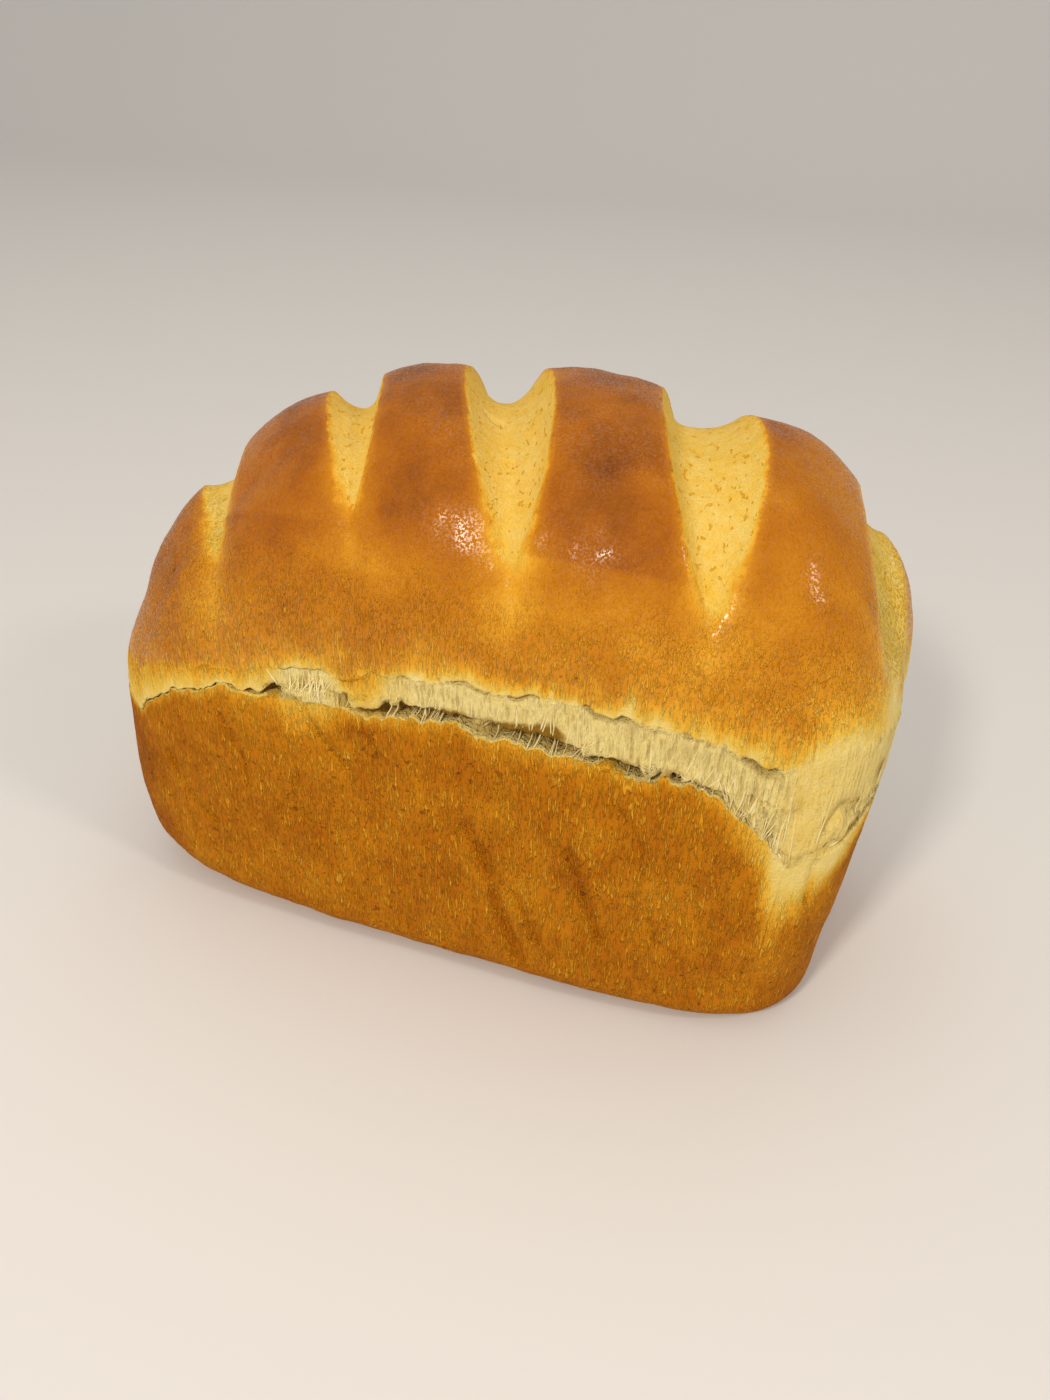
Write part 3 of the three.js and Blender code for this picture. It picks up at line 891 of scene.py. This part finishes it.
def threadTree(material):
    # sweeps a small round section along every edge path, as thick as its points say
    tree = bpy.data.node_groups.new("threads", "GeometryNodeTree")
    for name, kind in (("Geometry", "Geometry"), ("Sides", "Int"), ("Thickness", "Float")):
        tree.interface.new_socket(name, in_out="INPUT", socket_type="NodeSocket" + kind)
    tree.interface.new_socket("Geometry", in_out="OUTPUT", socket_type="NodeSocketGeometry")
    start = tree.nodes.new("NodeGroupInput")
    thick = node(tree, "GeometryNodeInputNamedAttribute", {"Name": "thick"}, data_type="FLOAT")
    radius = node(tree, "ShaderNodeMath", {0: thick.outputs["Attribute"], 1: start.outputs["Thickness"]},
                  operation="MULTIPLY")
    curves = node(tree, "GeometryNodeMeshToCurve", {"Mesh": start.outputs["Geometry"]})
    section = node(tree, "GeometryNodeCurvePrimitiveCircle",
                   {"Resolution": start.outputs["Sides"], "Radius": 1.0})
    swept = node(tree, "GeometryNodeCurveToMesh", {
        "Curve": curves.outputs["Curve"], "Profile Curve": section.outputs["Curve"],
        "Scale": radius.outputs["Value"], "Fill Caps": True})
    whole = node(tree, "GeometryNodeRealizeInstances", {"Geometry": swept.outputs["Mesh"]})
    painted = node(tree, "GeometryNodeSetMaterial",
                   {"Geometry": whole.outputs["Geometry"], "Material": material})
    end = tree.nodes.new("NodeGroupOutput")
    tree.links.new(painted.outputs["Geometry"], end.inputs["Geometry"])
    return tree


def evaluated(name, carrier, tree, inputs):
    # runs the tree on the carrier mesh and keeps its result as a plain piece
    scene.collection.objects.link(carrier)
    modifier = carrier.modifiers.new(name, "NODES")
    modifier.node_group = tree
    sockets = {item.name: item.identifier for item in tree.interface.items_tree if item.in_out == "INPUT"}
    for key, value in inputs.items():
        modifier[sockets[key]] = value
    graph = bpy.context.evaluated_depsgraph_get()
    mesh = bpy.data.meshes.new_from_object(carrier.evaluated_get(graph))
    bpy.data.objects.remove(carrier)
    mesh.name = name
    mesh.shade_smooth()
    piece = bpy.data.objects.new(name, mesh)
    scene.collection.objects.link(piece)
    return piece


# The threads' crumb: its two tones, lumps per metre, and how matt it is.
crumb = {"tones": [(0.35, (0.80, 0.62, 0.25)), (0.65, (0.90, 0.80, 0.46))], "lumps": 500,
         "roughness": 0.85, "specular": 0.12}


def crumbMaterial():
    material, tree, shader = newMaterial("torn crumb")
    place = node(tree, "ShaderNodeTexCoord").outputs["Object"]
    lumpy = node(tree, "ShaderNodeTexNoise", {"Vector": place, "Scale": crumb["lumps"], "Detail": 3.0})
    ramp = node(tree, "ShaderNodeValToRGB", {"Fac": lumpy.outputs["Fac"]})
    for element, (position, colour) in zip(ramp.color_ramp.elements, crumb["tones"]):
        element.position = position
        element.color = (*colour, 1)
    tree.links.new(ramp.outputs["Color"], shader.inputs["Base Color"])
    shader.inputs["Roughness"].default_value = crumb["roughness"]
    shader.inputs["Specular IOR Level"].default_value = crumb["specular"]
    return material


def makeThreads():
    spots, edges, thick = threadPaths()
    mesh = bpy.data.meshes.new("thread paths")
    mesh.from_pydata((spots * mm).tolist(), edges, [])
    layer = mesh.attributes.new("thick", "FLOAT", "POINT")
    layer.data.foreach_set("value", (thick * mm).astype(np.float32))
    carrier = bpy.data.objects.new("thread paths", mesh)
    sizes = {"Sides": bridges["sides"], "Thickness": 1.0}
    return evaluated("torn_threads", carrier, threadTree(crumbMaterial()), sizes)


strands = makeThreads()
print("threads:", len(strands.data.polygons), "faces")

# A plain pale floor that curves up into a backdrop far behind the loaf: where it starts and curves up,
# the curve's radius, and the backdrop's height and half width, in metres.
sweep = {"front": -4.0, "curveStart": 1.4, "radius": 0.9, "height": 4.0, "halfWidth": 5.0,
         "colour": (0.78, 0.77, 0.79), "roughness": 0.8, "specular": 0.2}


def backdrop(material):
    turns = [k * np.pi / 24 for k in range(13)]
    start, radius = sweep["curveStart"], sweep["radius"]
    curve = [(start + radius * np.sin(t), radius - radius * np.cos(t)) for t in turns]
    profile = [(sweep["front"], 0.0), *curve, (start + radius, sweep["height"])]
    mesh = bpy.data.meshes.new("floor")
    spots = [(x, y, z) for y, z in profile for x in (-sweep["halfWidth"], sweep["halfWidth"])]
    mesh.from_pydata(spots, [], [(i, i + 1, i + 3, i + 2) for i in range(0, len(spots) - 2, 2)])
    mesh.shade_smooth()
    mesh.materials.append(material)
    made = bpy.data.objects.new("floor", mesh)
    scene.collection.objects.link(made)
    return made


floorMaterial, _, floorShader = newMaterial("pale floor")
floorShader.inputs["Base Color"].default_value = (*sweep["colour"], 1)
floorShader.inputs["Roughness"].default_value = sweep["roughness"]
floorShader.inputs["Specular IOR Level"].default_value = sweep["specular"]
floor = backdrop(floorMaterial)

view = {"place": (0.0969, -0.2568, 0.2350), "right": (0.9389, 0.3431, 0.0254),
        "up": (-0.2054, 0.4999, 0.8414), "lens": 27.98}
camera = bpy.data.objects.new("camera", bpy.data.cameras.new("camera"))
right, up = Vector(view["right"]), Vector(view["up"])
turned = Matrix((right, up, right.cross(up))).transposed().to_4x4()
camera.matrix_world = Matrix.Translation(view["place"]) @ turned
camera.data.lens = view["lens"]
scene.collection.objects.link(camera)
scene.camera = camera

# Soft lamps by bearing from the front (degrees, to the right), height above the horizon and distance
# from just above the floor, with their size and power. One warm colour for all of them.
lampColour = (1.0, 0.92, 0.78)
lampTarget = Vector((0, 0, 0.1))
lights = [
    {"name": "overhead", "bearing": 200, "height": 75, "away": 1.6, "size": 1.4, "power": 4.0},
    {"name": "front lamp", "bearing": -8, "height": 38, "away": 1.1, "size": 0.13, "power": 5.3},
    {"name": "right lamp", "bearing": 73, "height": 40, "away": 1.1, "size": 0.13, "power": 1.8},
]
for lamp in lights:
    light = bpy.data.lights.new(lamp["name"], "AREA")
    light.size, light.energy, light.color = lamp["size"], lamp["power"], lampColour
    bearing, height = np.radians(lamp["bearing"]), np.radians(lamp["height"])
    way = Vector((np.sin(bearing) * np.cos(height), -np.cos(bearing) * np.cos(height), np.sin(height)))
    holder = bpy.data.objects.new(lamp["name"], light)
    holder.location = way * lamp["away"] + lampTarget
    holder.rotation_euler = way.to_track_quat("Z", "Y").to_euler()
    scene.collection.objects.link(holder)

room = {"colour": (1.0, 0.95, 0.84), "strength": 0.56}
world = bpy.data.worlds.new("soft room")
world.use_nodes = True
background = world.node_tree.nodes["Background"]
background.inputs["Color"].default_value = (*room["colour"], 1)
background.inputs["Strength"].default_value = room["strength"]
scene.world = world
scene.view_settings.view_transform = "Standard"

for piece in (loaf, strands):
    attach(piece, "root")
    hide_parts("loaf")
